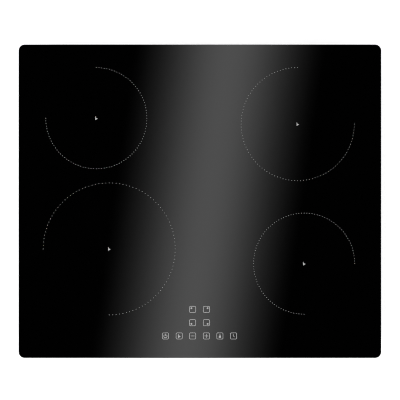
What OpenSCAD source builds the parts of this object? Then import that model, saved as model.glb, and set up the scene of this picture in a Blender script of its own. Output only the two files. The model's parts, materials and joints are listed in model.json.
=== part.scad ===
// Built-in electric induction cooktop: four zones, touch keys, a folded sheet case below the glass.
// Origin: middle of the case floor's underside. X to the right, Y to the rear, Z up, millimetres.

/* [Glass plate] */
// Width of the glass plate
glass_w = 590; // [584:1:610]
// Depth of the glass plate, front to back
glass_d = 510; // [506:1:520]
// Thickness of the glass plate
glass_t = 4; // [4:0.5:6]
// Radius of the glass plate's corners
glass_corner_r = 10; // [8:1:14]
// Ground chamfer along the glass plate's edges
glass_chamfer = 0.6; // [0.4:0.1:1]

/* [Case] */
// Width of the sheet case
case_w = 553; // [550:1:555]
// Depth of the sheet case, front to back
case_d = 483; // [480:1:484]
// Height from the case floor to the underside of the glass
body_drop = 52; // [52:0.5:56]
// Thickness of the case's steel sheet
sheet_t = 0.8; // [0.6:0.1:1]

/* [Cooking zones] */
// Outer radius of the rear left coil
coil_r_rear_left = 74; // [68:1:76]
// Outer radius of the rear right coil
coil_r_rear_right = 83; // [76:1:84]
// Outer radius of the front left coil
coil_r_front_left = 98; // [90:1:99]
// Outer radius of the front right coil
coil_r_front_right = 74; // [68:1:76]

/* [Fans] */
// Outer radius of a fan rotor
rotor_r = 33; // [30:1:34]
// Number of blades on a fan rotor
blade_count = 23; // [15:2:27]

/* [Fixing brackets] */
// Length of a fixing bracket's arm from its pivot to its tip
bracket_reach = 48; // [40:1:50]
// Width of a fixing bracket's arm
bracket_w = 14; // [12:1:14]

/* [Mains connection] */
// Radius of the hole through the mains cable gland
gland_bore_r = 6.5; // [5:0.5:7]
// Width of the terminal cover
cover_w = 68; // [60:1:70]

/* [Hidden] */
$fn = 64;
eps = 0.01;

// Zones, in the order rear left, rear right, front left, front right
ZONES = ["rear_left", "rear_right", "front_left", "front_right"];
zone_at = [[-168.5, 135], [159, 125.5], [-147.5, -77.5], [169.5, -101.5]];
coil_r = [coil_r_rear_left, coil_r_rear_right, coil_r_front_left, coil_r_front_right];
SIDES = ["left", "right"];

// Heights above the case floor's underside
glass_z = body_drop;
seal_t = 2;
frame_flange_t = 1;
pan_h = body_drop - frame_flange_t;
plate_z = 26;
plate_t = 1;
plate_top = plate_z + plate_t;
spring_h = 10;
foot_z = plate_top + spring_h;
ferrite_t = 4;
carrier_z = foot_z + 1 + ferrite_t;
carrier_t = 2;
carrier_h = 8;
disc_t = 1.5;
board_z = 6;
board_t = 1.6;
board_top = board_z + board_t;

// Rounded rectangle about the origin, made of squares and true circles
module rounded_rect(w, d, r) {
    square([w - 2 * r, d], center = true);
    square([w, d - 2 * r], center = true);
    for (x = [-1, 1], y = [-1, 1])
        translate([x * (w / 2 - r), y * (d / 2 - r)]) circle(r);
}

// Bar with round ends, from the origin along +X
module round_bar(length, w) {
    translate([0, -w / 2]) square([length, w]);
    circle(w / 2);
    translate([length, 0]) circle(w / 2);
}

// Rounded rectangular ring
module ring_rect(w, d, r, wall) {
    difference() {
        rounded_rect(w, d, r);
        rounded_rect(w - 2 * wall, d - 2 * wall, max(r - wall, 1));
    }
}

// Lays a child out on the right (+1) or mirrors it to the left (-1)
module on_side(side) {
    if (side < 0) mirror([1, 0, 0]) children();
    else children();
}
side_sign = [-1, 1];

// Points along a smooth curve through hand-chosen route points
function spline_point(p, k, t) =
    let (a = p[max(k - 1, 0)], b = p[k], c = p[k + 1], d = p[min(k + 2, len(p) - 1)])
    0.5 * (2 * b + (c - a) * t + (2 * a - 5 * b + 4 * c - d) * t * t
        + (3 * b - a - 3 * c + d) * t * t * t);
function route_curve(p, steps) = concat(
    [for (k = [0 : len(p) - 2], s = [0 : steps - 1]) spline_point(p, k, s / steps)],
    [p[len(p) - 1]]
);
function unit(v) = v / norm(v);
function heading(c, k) = unit(c[min(k + 1, len(c) - 1)] - c[max(k - 1, 0)]);
function across(h) = unit(cross(abs(h[2]) > 0.9 ? [1, 0, 0] : [0, 0, 1], h));

// Closed tube along a route
module lead(route, r, steps = 4, sides = 8) {
    curve = route_curve(route, steps);
    rings = len(curve);
    points = [for (k = [0 : rings - 1], s = [0 : sides - 1])
        let (h = heading(curve, k), u = across(h), v = cross(h, u), a = 360 * s / sides)
        curve[k] + r * (cos(a) * u + sin(a) * v)];
    skin = [for (k = [0 : rings - 2], s = [0 : sides - 1])
        let (n = (s + 1) % sides)
        [k * sides + s, (k + 1) * sides + s, (k + 1) * sides + n, k * sides + n]];
    ends = [
        [for (s = [0 : sides - 1]) s],
        [for (s = [sides - 1 : -1 : 0]) (rings - 1) * sides + s]
    ];
    polyhedron(points, concat(skin, ends), convexity = 4);
}

// ---- Glass plate, seal and frame ----

// Chamfered edge section, out to a reach from the middle, mirrored when two-sided
module glass_section(reach, both_sides) {
    start = both_sides ? -reach : 0;
    cut = both_sides ? glass_chamfer : 0;
    polygon([
        [start + cut, 0], [reach - glass_chamfer, 0], [reach, glass_chamfer],
        [reach, glass_t - glass_chamfer], [reach - glass_chamfer, glass_t], [start + cut, glass_t],
        [start, glass_t - cut], [start, cut]
    ]);
}

module glass_top() {
    straight_w = glass_w - 2 * glass_corner_r;
    straight_d = glass_d - 2 * glass_corner_r;
    color([0.02, 0.02, 0.022]) translate([0, 0, glass_z]) {
        rotate([90, 0, 0]) linear_extrude(straight_d, center = true) glass_section(glass_w / 2, true);
        rotate([90, 0, 90]) linear_extrude(straight_w, center = true) glass_section(glass_d / 2, true);
        for (corner = [0 : 3]) {
            x = (corner == 0 || corner == 3 ? 1 : -1) * straight_w / 2;
            y = (corner < 2 ? 1 : -1) * straight_d / 2;
            translate([x, y, 0]) rotate(90 * corner) rotate_extrude(angle = 90)
                polygon([
                    [0, 0], [glass_corner_r - glass_chamfer, 0], [glass_corner_r, glass_chamfer],
                    [glass_corner_r, glass_t - glass_chamfer], [glass_corner_r - glass_chamfer, glass_t],
                    [0, glass_t]
                ]);
        }
    }
}

seal_inset = 1.5;
seal_w = 7;

module rim_seal() {
    color([0.13, 0.13, 0.14]) translate([0, 0, glass_z - seal_t]) linear_extrude(seal_t)
        ring_rect(glass_w - 2 * seal_inset, glass_d - 2 * seal_inset, glass_corner_r - seal_inset, seal_w);
}

case_corner_r = 4;
frame_flange_w = 14;
frame_leg_t = 1;
frame_leg_h = 13;
screw_hole_r = 1.5;
screw_z = pan_h - 6;
// Case screws: distance along each wall from its middle
screws_along_w = [-200, 0, 110];
screws_along_d = [-190, 30, 190];

// Places a child on every case screw's axis, pointing out through the wall
module at_case_screws() {
    for (x = screws_along_w, side = [-1, 1])
        translate([x, side * case_d / 2, screw_z]) rotate([-90 * side, 0, 0]) children();
    for (y = screws_along_d, side = [-1, 1])
        translate([side * case_w / 2, y, screw_z]) rotate([0, 90 * side, 0]) children();
}

module top_frame() {
    leg_w = case_w - 2 * sheet_t;
    leg_d = case_d - 2 * sheet_t;
    color([0.62, 0.64, 0.66]) difference() {
        union() {
            translate([0, 0, pan_h]) linear_extrude(frame_flange_t)
                ring_rect(case_w, case_d, case_corner_r, frame_flange_w);
            translate([0, 0, pan_h - frame_leg_h]) linear_extrude(frame_leg_h + eps)
                ring_rect(leg_w, leg_d, case_corner_r - sheet_t, frame_leg_t);
        }
        at_case_screws() translate([0, 0, -5]) cylinder(r = screw_hole_r, h = 10);
        // The leg makes way for the terminal box
        translate([box_x[0] - 1, leg_d / 2 - 3, pan_h - frame_leg_h - 1])
            cube([box_x[1] - box_x[0] + 2, 6, box_z[1] - pan_h + frame_leg_h + 1.4]);
    }
}

// ---- Sheet case ----

bracket_pivot = [case_w / 2 - 12, 150];
pocket_w = 24;
pocket_h = 7;
pocket_margin = 9;
bead_w = 10;
bead_h = 1.2;
bead_ys = [-200, -155, -110];
bead_half_l = 190;
fan_at = [62, 150];
fan_half = 46;
inlet_r = 27;
slot_w = 3;
slot_h = 16;
slot_pitch = 8;
slot_z = 18;

// Everything pressed inward from the sheet, grown by the sheet's thickness for its inner face
module pressings(grow) {
    pocket_l = bracket_reach + 2 + pocket_margin;
    for (sx = [-1, 1], sy = [-1, 1])
        scale_sign(sx, sy)
            translate([
                case_w / 2 - pocket_w - grow,
                bracket_pivot[1] + pocket_margin - pocket_l - grow,
                -1
            ]) cube([pocket_w + 2 * grow + 1, pocket_l + 2 * grow, pocket_h + grow + 1]);
    for (y = bead_ys)
        translate([-bead_half_l, y, -1]) linear_extrude(bead_h + grow + 1)
            round_bar(2 * bead_half_l, bead_w + 2 * grow);
}

// Mirrors a child from the rear right corner to the corner with these signs
module scale_sign(sx, sy) {
    mirror([sx < 0 ? 1 : 0, 0, 0]) mirror([0, sy < 0 ? 1 : 0, 0]) children();
}

// Row of upright air slots through a wall that runs along X
module slot_row(from, to) {
    for (x = [from : slot_pitch : to])
        translate([x - slot_w / 2, -3, slot_z]) cube([slot_w, 6, slot_h]);
}

box_x = [138, 246];
box_y = 212;
box_z = [4, 47];
box_t = 1.6;
cover_x = 206;
window_w = cover_w + 6;
window_z = [6, 45];
gland_at = [154, 24];
gland_body_r = 9.9;

module case_pan() {
    color([0.66, 0.68, 0.70]) difference() {
        linear_extrude(pan_h) rounded_rect(case_w, case_d, case_corner_r);
        difference() {
            translate([0, 0, sheet_t]) linear_extrude(pan_h)
                rounded_rect(case_w - 2 * sheet_t, case_d - 2 * sheet_t, case_corner_r - sheet_t);
            pressings(sheet_t);
        }
        pressings(0);
        // Cooling air goes in below each fan
        for (side = side_sign, y = [-24 : 6 : 24])
            translate([side * fan_at[0], fan_at[1] + y, 0])
                cube([2 * sqrt(inlet_r * inlet_r - y * y), slot_w, 4], center = true);
        // and out through the front, side and rear walls
        for (side = side_sign) {
            on_side(side) translate([0, -case_d / 2, 0]) slot_row(112, 232);
            on_side(side) translate([case_w / 2, 0, 0]) rotate(90) slot_row(-44, 44);
        }
        translate([0, case_d / 2, 0]) slot_row(-232, -128);
        translate([cover_x - window_w / 2, case_d / 2 - 3, window_z[0]])
            cube([window_w, 6, window_z[1] - window_z[0]]);
        translate([gland_at[0], case_d / 2 - 3, gland_at[1]]) rotate([-90, 0, 0])
            cylinder(r = gland_body_r, h = 6);
        at_case_screws() translate([0, 0, -5]) cylinder(r = screw_hole_r, h = 10);
        at_bracket_pivots() translate([0, 0, pocket_h - 1]) cylinder(r = pivot_r + 0.1, h = 4);
    }
}

// ---- Fixing brackets and screws ----

pivot_r = 2.5;
pivot_bore_r = 2.55;
bracket_z = 3.6;
bracket_t = 1.8;
bracket_boss_h = 3.3;
bracket_lip_h = 3;

// Places a child on each bracket's pivot axis
module at_bracket_pivots() {
    for (sx = [-1, 1], sy = [-1, 1])
        translate([sx * bracket_pivot[0], sy * bracket_pivot[1], 0]) children();
}

// Flat arm with a boss on the pivot screw and a lip that bites under the worktop
module fixing_bracket(i) {
    sx = i % 2 == 0 ? -1 : 1;
    sy = i < 2 ? 1 : -1;
    color([0.74, 0.75, 0.77]) translate([sx * bracket_pivot[0], sy * bracket_pivot[1], bracket_z])
        rotate(-90 * sy) difference() {
            union() {
                linear_extrude(bracket_t) round_bar(bracket_reach - bracket_w / 2, bracket_w);
                cylinder(r = 5.5, h = bracket_boss_h);
                translate([bracket_reach - 4, -bracket_w / 4, 0])
                    cube([1.8, bracket_w / 2, bracket_lip_h]);
                // Raised stiffening rib
                translate([9, -1.5, 0]) cube([bracket_reach - 18, 3, bracket_t + 0.8]);
            }
            translate([0, 0, -1]) cylinder(r = pivot_bore_r, h = bracket_boss_h + 2);
        }
}

case_head_r = 3.2;
case_head_h = 1.8;
pivot_head_r = 4.6;
pivot_head_z = 0.9;

// Cross-slotted pan head screw, head outward along +Z with its seat at the origin
module cross_screw(head_r, head_h, shank_r, shank_l) {
    difference() {
        union() {
            cylinder(r = head_r, h = head_h);
            translate([0, 0, -shank_l]) cylinder(r = shank_r, h = shank_l);
        }
        for (turn = [0, 90])
            rotate(turn) translate([0, 0, head_h])
                cube([head_r * 1.2, head_r * 0.28, head_h], center = true);
    }
}

module assembly_screws() {
    color([0.80, 0.80, 0.82]) {
        at_case_screws() cross_screw(case_head_r, case_head_h, screw_hole_r, 7);
        at_bracket_pivots() {
            translate([0, 0, pivot_head_z + 2.4]) mirror([0, 0, 1])
                cross_screw(pivot_head_r, 2.4, pivot_r, 12);
            translate([0, 0, pocket_h + sheet_t]) difference() {
                cylinder(r = 5.5, h = 4, $fn = 6);
                translate([0, 0, -1]) cylinder(r = pivot_r, h = 6);
            }
        }
        for (k = [0 : terminal_count - 1])
            translate([terminal_x(k), block_front_y - 1, block_z + 14]) rotate([-90, 0, 0])
                cross_screw(2, 0.9, 1.4, 3.8);
    }
}

// ---- Coil plates and coils ----

plate_x = [12, 262];
plate_y = [-182, 206];
plate_hole_r = 30;
plate_lip_h = 6;
leg_w = 24;
leg_foot = 12;
leg_ys = [-60, 60];

// Aluminium plate on four folded legs, right hand side
module coil_plate(side) {
    color([0.80, 0.81, 0.83]) difference() {
        on_side(side) {
            translate([plate_x[0], plate_y[0], plate_z])
                cube([plate_x[1] - plate_x[0], plate_y[1] - plate_y[0], plate_t]);
            for (y = [plate_y[0], plate_y[1] - plate_t])
                translate([plate_x[0] + 10, y, plate_z - plate_lip_h])
                    cube([plate_x[1] - plate_x[0] - 20, plate_t, plate_lip_h]);
            for (y = leg_ys) {
                translate([plate_x[0], y - leg_w / 2, sheet_t]) {
                    cube([plate_t, leg_w, plate_z - sheet_t]);
                    cube([leg_foot, leg_w, plate_t]);
                }
                translate([plate_x[1] - plate_t, y - leg_w / 2, sheet_t]) {
                    cube([plate_t, leg_w, plate_z - sheet_t]);
                    translate([plate_t - leg_foot, 0, 0]) cube([leg_foot, leg_w, plate_t]);
                }
            }
        }
        // Leads and the sensor reach through below each coil
        for (zone = [side < 0 ? 0 : 1, side < 0 ? 2 : 3])
            translate([zone_at[zone][0], zone_at[zone][1], plate_z - 1])
                cylinder(r = plate_hole_r, h = plate_t + 2);
    }
}

carrier_wall = 1.6;
carrier_hub_r = 11;
winding_in_r = 24;
wire_r = 2.2;
wire_pitch = 4.5;
ferrite_w = 14;
foot_size = [12, 15];
lead_ring_r = 17;

// Bars under a coil: more under the large ones
function bar_count(i) = coil_r[i] > 78 ? 8 : 6;
function spring_angle(i, k) = (2 * k + 0.5) * 360 / bar_count(i);
function foot_ring_r(i) = 0.62 * coil_r[i];

// Places a child at each spring of a coil, local +X pointing outward
module at_springs(i) {
    for (k = [0 : bar_count(i) / 2 - 1])
        rotate(spring_angle(i, k)) translate([foot_ring_r(i), 0, 0]) children();
}

// Moves a child to the middle of a zone
module at_zone(i) {
    translate([zone_at[i][0], zone_at[i][1], 0]) children();
}

// Round plastic dish with ribs that hold the ferrite bars and feet that sit on the springs
module coil_carrier(i) {
    outer_r = coil_r[i] + carrier_wall + 0.4;
    color([0.90, 0.89, 0.86]) at_zone(i) {
        rotate_extrude() {
            translate([carrier_hub_r, carrier_z]) square([outer_r - carrier_hub_r, carrier_t]);
            translate([outer_r - carrier_wall, carrier_z]) square([carrier_wall, carrier_h]);
        }
        for (k = [0 : bar_count(i) - 1], side = [-1, 1])
            rotate(k * 360 / bar_count(i))
                translate([winding_in_r + 2, side * (ferrite_w / 2 + 0.8) - 0.6, carrier_z - ferrite_t])
                    cube([coil_r[i] - winding_in_r - 8, 1.2, ferrite_t + eps]);
        at_springs(i) translate([-foot_size[0] / 2, -foot_size[1] / 2, foot_z])
            cube([foot_size[0], foot_size[1], carrier_z - foot_z + eps]);
    }
}

// Flat winding of thick litz wire, turn beside turn
module coil_winding(i) {
    turns = floor((coil_r[i] - winding_in_r - 2 * wire_r) / wire_pitch) + 1;
    color([0.72, 0.38, 0.16]) at_zone(i) translate([0, 0, carrier_z + carrier_t + wire_r])
        rotate_extrude() {
            for (k = [0 : turns - 1])
                translate([winding_in_r + wire_r + k * wire_pitch, 0]) circle(wire_r, $fn = 24);
            translate([winding_in_r + wire_r, -wire_r / 2])
                square([(turns - 1) * wire_pitch, wire_r]);
        }
}

module ferrite_bars(i) {
    bar_l = coil_r[i] - winding_in_r - 4;
    color([0.16, 0.16, 0.17]) at_zone(i) for (k = [0 : bar_count(i) - 1])
        rotate(k * 360 / bar_count(i))
            translate([winding_in_r, -ferrite_w / 2, carrier_z - ferrite_t])
                cube([bar_l, ferrite_w, ferrite_t]);
}

// Ceramic fibre disc between the winding and the glass
module insulation_disc(i) {
    color([0.93, 0.92, 0.88]) at_zone(i) translate([0, 0, carrier_z + carrier_h]) difference() {
        cylinder(r = coil_r[i] + 1, h = disc_t);
        translate([0, 0, -1]) cylinder(r = 12.5, h = disc_t + 2);
    }
}

// Temperature sensor in the hub, with a soft cap just below the glass
module pan_sensor(i) {
    color([0.86, 0.86, 0.84]) at_zone(i) rotate_extrude() polygon([
        [0, carrier_z - 4], [6, carrier_z - 4], [8, carrier_z - 2], [9, carrier_z - 2],
        [9, carrier_z + carrier_t], [14, carrier_z + carrier_t], [14, carrier_z + carrier_t + 1],
        [9, carrier_z + carrier_t + 1], [9, glass_z - 2.5], [7, glass_z - 0.4], [0, glass_z - 0.4]
    ]);
}

// Bent spring strips between the coil plate and the carrier's feet
module coil_springs(i) {
    strip_t = 0.5;
    color([0.55, 0.56, 0.58]) at_zone(i) at_springs(i)
        rotate([90, 0, 90]) translate([0, plate_top, -4]) linear_extrude(8) polygon([
            [-15, 0], [-10, 0], [-4.5, spring_h - strip_t], [4.5, spring_h - strip_t], [10, 0], [15, 0],
            [15, strip_t], [10.3, strip_t], [4.8, spring_h], [-4.8, spring_h], [-10.3, strip_t],
            [-15, strip_t]
        ]);
}

// Two flexible leads from the board up to the winding, each on a round lug
module coil_leads(i) {
    color([0.80, 0.30, 0.12]) at_zone(i) for (side = [-1, 1])
        translate([0, side * lead_ring_r, board_top]) {
            cylinder(r = wire_r, h = carrier_z - board_top);
            cylinder(r = 4.5, h = 1.2);
        }
}

// ---- Power boards ----

board_x = [22, 242];
board_y = [-140, 98];
board_wing_x = 114;
board_wing_y = 180;

module power_board(side) {
    color([0.05, 0.30, 0.16]) on_side(side) translate([0, 0, board_z]) linear_extrude(board_t) polygon([
        [board_x[0], board_y[0]], [board_x[1], board_y[0]], [board_x[1], board_wing_y],
        [board_wing_x, board_wing_y], [board_wing_x, board_y[1]], [board_x[0], board_y[1]]
    ]);
}

support_at = [[30, -130], [232, -130], [30, -20], [232, -20], [30, 88], [232, 88], [122, 170], [232, 170]];

module board_supports() {
    color([0.90, 0.90, 0.86]) for (side = side_sign, at = support_at)
        on_side(side) translate([at[0], at[1], sheet_t]) cylinder(r = 3.2, h = board_z - sheet_t);
}

sink_x = [40, 92];
sink_y = [-100, 90];
sink_base_t = 4;
sink_top = plate_z - 1.5;
fin_t = 1.6;
fin_pitch = 5.6;

// Extruded aluminium comb that stands on the power board
module heatsink(side) {
    sink_w = sink_x[1] - sink_x[0];
    fins = floor((sink_w - fin_t) / fin_pitch);
    color([0.72, 0.73, 0.75]) on_side(side) translate([sink_x[0], sink_y[1], board_top])
        rotate([90, 0, 0]) linear_extrude(sink_y[1] - sink_y[0]) {
            square([sink_w, sink_base_t]);
            for (k = [0 : fins])
                translate([k * (sink_w - fin_t) / fins, 0]) square([fin_t, sink_top - board_top]);
        }
}

transistor_ys = [-84, -52, -20, 12, 44, 72];

// Transistors and rectifiers stand against the heatsinks, with three legs each in the board
module power_transistors() {
    color([0.10, 0.10, 0.11]) for (side = side_sign, y = transistor_ys)
        on_side(side) translate([sink_x[1], y - 8, board_top + 3]) {
            cube([4.6, 16, 13]);
            for (leg = [3, 8, 13])
                translate([2, leg - 0.6, -3]) cube([0.8, 1.2, 3 + eps]);
        }
}

capacitor_ys = [-70, -48, -26, 34, 56, 78];
capacitor_size = [32, 14, 16];

module film_capacitors() {
    color([0.76, 0.14, 0.10]) for (side = side_sign, y = capacitor_ys)
        on_side(side) translate([212, y, board_top]) linear_extrude(capacitor_size[2])
            rounded_rect(capacitor_size[0], capacitor_size[1], 1.5);
}

choke_ys = [-40, 10, 60];

// Ring chokes on round plastic bases
module filter_chokes() {
    color([0.80, 0.44, 0.14]) for (side = side_sign, y = choke_ys)
        on_side(side) translate([124, y, board_top]) {
            cylinder(r = 15, h = 2);
            translate([0, 0, 7.2]) rotate_extrude() translate([11, 0]) circle(5.5);
        }
}

// ---- Fans ----

fan_z = sheet_t;
fan_h = 18;
fan_wall = 2;
fan_gap = 3;
shaft_r = 1.5;
shaft_bore_r = 1.53;
fan_duct = [4, 37];
fan_duct_l = 50;

// Moves a child to the middle of a fan's floor
module at_fan(side) {
    on_side(side) translate([fan_at[0], fan_at[1], fan_z]) children();
}

// Blower housing: round chamber, inlet below, outlet duct towards the heatsink, motor above
module fan_housing(side) {
    inner_h = fan_h - 2 * fan_wall;
    color([0.12, 0.12, 0.13]) at_fan(side) {
        difference() {
            union() {
                linear_extrude(fan_h) rounded_rect(2 * fan_half, 2 * fan_half, 8);
                translate([fan_duct[0] - fan_wall, -fan_duct_l, 0])
                    cube([fan_duct[1] - fan_duct[0] + 2 * fan_wall, fan_duct_l, fan_h]);
            }
            translate([0, 0, fan_wall]) cylinder(r = rotor_r + fan_gap, h = inner_h);
            translate([fan_duct[0], -fan_duct_l - 1, fan_wall])
                cube([rotor_r + fan_gap - fan_duct[0], fan_duct_l + 1, inner_h]);
            translate([0, 0, -1]) cylinder(r = inlet_r, h = fan_wall + 2);
        }
        translate([0, 0, 12.4]) cylinder(r = 12, h = fan_h - fan_wall - 12.4 + eps);
        translate([0, 0, 4]) cylinder(r = shaft_r, h = 9);
    }
}

// Blower wheel with upright blades round the rim, turning on the motor's shaft
module fan_rotor(side) {
    back_z = 10.4;
    back_t = 1.2;
    blade_from = rotor_r - 11;
    color([0.85, 0.86, 0.86]) at_fan(side) difference() {
        union() {
            translate([0, 0, back_z]) cylinder(r = rotor_r - 1, h = back_t);
            translate([0, 0, 5]) cylinder(r = 5, h = back_z - 5 + eps);
            translate([0, 0, 4]) difference() {
                cylinder(r = rotor_r, h = 1.2);
                translate([0, 0, -1]) cylinder(r = rotor_r - 3.5, h = 4);
            }
            for (k = [0 : blade_count - 1])
                rotate(k * 360 / blade_count) translate([blade_from, 0, 4.6]) rotate(24)
                    cube([9.5, 0.9, back_z - 4.6 + eps]);
        }
        translate([0, 0, 4]) cylinder(r = shaft_bore_r, h = back_z);
    }
}

// ---- Mains connection ----

terminal_count = 6;
block_x = [176, 236];
block_y = [box_y + box_t, 224];
block_z = 12;
block_h = 20;
block_front_y = 224;
hinge_y = case_d / 2 - 3.3;
hinge_z = window_z[1] - 3.5;
hinge_pin_r = 1.5;
hinge_bore_r = 1.55;
barrel_r = 3;
function terminal_x(k) = block_x[0] + 5 + k * (block_x[1] - block_x[0] - 10) / (terminal_count - 1);

// Plastic box behind the rear window, with the cover's hinge pin moulded across it
module terminal_box() {
    back_y = case_d / 2 - sheet_t;
    lug_x = [cover_x - cover_w / 2 - 3.5, cover_x + cover_w / 2 + 0.5];
    color([0.17, 0.17, 0.18]) {
        difference() {
            translate([box_x[0], box_y, box_z[0]])
                cube([box_x[1] - box_x[0], back_y - box_y, box_z[1] - box_z[0]]);
            translate([box_x[0] + box_t, box_y + box_t, box_z[0] + box_t])
                cube([
                    box_x[1] - box_x[0] - 2 * box_t, back_y - box_y,
                    box_z[1] - box_z[0] - 2 * box_t
                ]);
            // Wires leave below the terminal block
            translate([180, box_y - 1, 6.6]) cube([36, 4, 4.4]);
        }
        for (x = lug_x)
            translate([x, hinge_y - 3, hinge_z - 3]) cube([3, 5.5, box_z[1] - box_t - hinge_z + 3 + eps]);
        translate([lug_x[0] + 1, hinge_y, hinge_z]) rotate([0, 90, 0])
            cylinder(r = hinge_pin_r, h = lug_x[1] - lug_x[0] + 1);
        // Stop that the closed cover rests on
        translate([block_x[0], hinge_y - 3, box_z[0] + box_t - eps])
            cube([block_x[1] - block_x[0], 3.6, 4]);
    }
}

module terminal_block() {
    color([0.88, 0.87, 0.82]) difference() {
        translate([block_x[0], block_y[0], block_z])
            cube([block_x[1] - block_x[0], block_front_y - block_y[0], block_h]);
        for (k = [0 : terminal_count - 1])
            translate([terminal_x(k), block_front_y, 0]) {
                translate([0, -1, block_z + 14]) rotate([-90, 0, 0]) cylinder(r = 2.6, h = 3);
                translate([0, -5, block_z + 14]) rotate([-90, 0, 0]) cylinder(r = 1.4, h = 6);
                translate([-2.4, -6, block_z + 4]) cube([4.8, 8, 4.8]);
            }
        // Ribs between the poles
        for (k = [0 : terminal_count - 2])
            translate([(terminal_x(k) + terminal_x(k + 1)) / 2 - 0.5, block_front_y - 2, block_z - 1])
                cube([1, 4, block_h + 2]);
    }
}

cover_t = 1.8;
cover_back = 1.1;

// Cover that swings up and out on its top edge
module terminal_cover() {
    cover_bottom = window_z[0] + 1;
    color([0.16, 0.16, 0.17]) difference() {
        translate([cover_x - cover_w / 2, 0, 0]) union() {
            translate([0, hinge_y + cover_back, cover_bottom])
                cube([cover_w, cover_t, hinge_z - cover_bottom]);
            translate([0, hinge_y, hinge_z]) rotate([0, 90, 0]) cylinder(r = barrel_r, h = cover_w);
            // Finger lip and two ribs on the outer face
            for (z = [0.35, 0.65])
                translate([6, hinge_y + cover_back, cover_bottom + z * (hinge_z - cover_bottom)])
                    cube([cover_w - 12, cover_t + 0.4, 1.6]);
        }
        translate([cover_x - cover_w / 2 - 1, hinge_y, hinge_z]) rotate([0, 90, 0])
            cylinder(r = hinge_bore_r, h = cover_w + 2);
    }
}

// Screw-in gland for the mains cable, with a lock nut inside the box
module cable_gland() {
    flange_t = 2.4;
    inner_l = 12;
    back_y = case_d / 2;
    color([0.15, 0.15, 0.16]) translate([gland_at[0], back_y, gland_at[1]]) rotate([-90, 0, 0])
        difference() {
            union() {
                cylinder(r = 12.5, h = flange_t);
                translate([0, 0, -inner_l]) cylinder(r = gland_body_r, h = inner_l + eps);
                translate([0, 0, -sheet_t - 5]) cylinder(r = 13, h = 5, $fn = 6);
            }
            translate([0, 0, -inner_l - 1]) cylinder(r = gland_bore_r, h = inner_l + flange_t + 2);
        }
}

// ---- Touch control ----

key_x = [-56, -33.5, -12, 10.5, 32.5, 54.5];
key_y = [-219.5, -198, -176.5];
tray_half_w = 78;
tray_y = [-226, -162];
tray_z = 40;
tray_t = 1.5;
control_z = 44;

// Tray bonded under the glass behind the front edge
module touch_carrier() {
    depth = tray_y[1] - tray_y[0];
    color([0.20, 0.20, 0.21]) {
        difference() {
            translate([-tray_half_w, tray_y[0], tray_z]) cube([2 * tray_half_w, depth, glass_z - tray_z]);
            translate([-tray_half_w + tray_t, tray_y[0] + tray_t, tray_z + tray_t])
                cube([2 * (tray_half_w - tray_t), depth - 2 * tray_t, glass_z - tray_z]);
            // The ribbon to the power board leaves through the floor
            translate([60, -200, tray_z - 1]) cylinder(r = 4, h = 4);
        }
        for (x = [-68, 0, 68], y = [-211, -169])
            translate([x, y, tray_z + tray_t - eps])
                cylinder(r = 2.5, h = control_z - tray_z - tray_t + eps);
    }
}

module touch_board() {
    color([0.06, 0.22, 0.30]) translate([-74, -224, control_z]) cube([148, 60, board_t]);
}

// Places a child under each of the ten keys
module at_keys() {
    for (k = [0 : 5])
        translate([key_x[k], key_y[0], 0]) children();
    for (k = [2, 3], row = [1, 2])
        translate([key_x[k], key_y[row], 0]) children();
}

// Conductive rubber contacts between the board and the glass
module touch_springs() {
    low = control_z + board_t;
    color([0.35, 0.35, 0.37]) at_keys() rotate_extrude() polygon([
        [1.5, low], [4.5, low], [4.5, low + 1], [3, low + 2.2], [3, glass_z - 1.8], [4.2, glass_z - 0.6],
        [4.2, glass_z], [1.5, glass_z]
    ]);
}

// Number displays beside the zone keys, face up under the glass
module number_displays() {
    color([0.85, 0.86, 0.84]) for (x = [-38, 36.5], y = [key_y[1], key_y[2]])
        translate([x, y, control_z + board_t]) difference() {
            linear_extrude(5.2) rounded_rect(22, 13, 0.8);
            for (digit = [-5, 5])
                translate([digit, 0, 4.8]) linear_extrude(1) ring_rect(5, 9, 0.6, 1);
        }
}

// ---- Wiring ----

feed_route = [[0, 219, 11.9], [0, 219, 11.2], [0, 219, 10.2], [0, 209, 8.8], [0, 196, 12], [0, 184, 14],
    [0, 176, 11.5], [0, 176, 9], [0, 176, board_top]];
bridge_route = [[30, 20, board_top], [30, 20, 9], [30, 20, 11], [16, 20, 14.5], [0, 20, 15], [-16, 20, 14.5],
    [-30, 20, 11], [-30, 20, 9], [-30, 20, board_top]];
control_route = [[60, -200, control_z], [60, -200, 41], [60, -200, 38], [60, -199, 26], [60, -188, 16],
    [60, -160, 14], [60, -137, 13], [60, -131, 11], [60, -131, 9.5], [60, -131, board_top]];
fan_route = [[108.05, 140, 12], [109, 140, 12], [111, 140, 12], [116, 140, 13], [121, 140, 10.5],
    [121, 140, 9], [121, 140, board_top]];

// Mains feed, bridge between the boards, control leads and fan leads
module wiring_harness() {
    color([0.35, 0.20, 0.10]) {
        for (x = [188, 198, 208])
            translate([x, 0, 0]) lead(feed_route, 1.3, 2, 6);
        for (y = [0, 8])
            translate([0, y, 0]) lead(bridge_route, 1.3, 2, 6);
        for (x = [-1.6, 0, 1.6])
            translate([x, 0, 0]) lead(control_route, 0.7, 2, 6);
        for (side = side_sign)
            on_side(side) lead(fan_route, 0.9, 2, 6);
    }
}

// ---- Output, one node at a time or all of them ----

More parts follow.
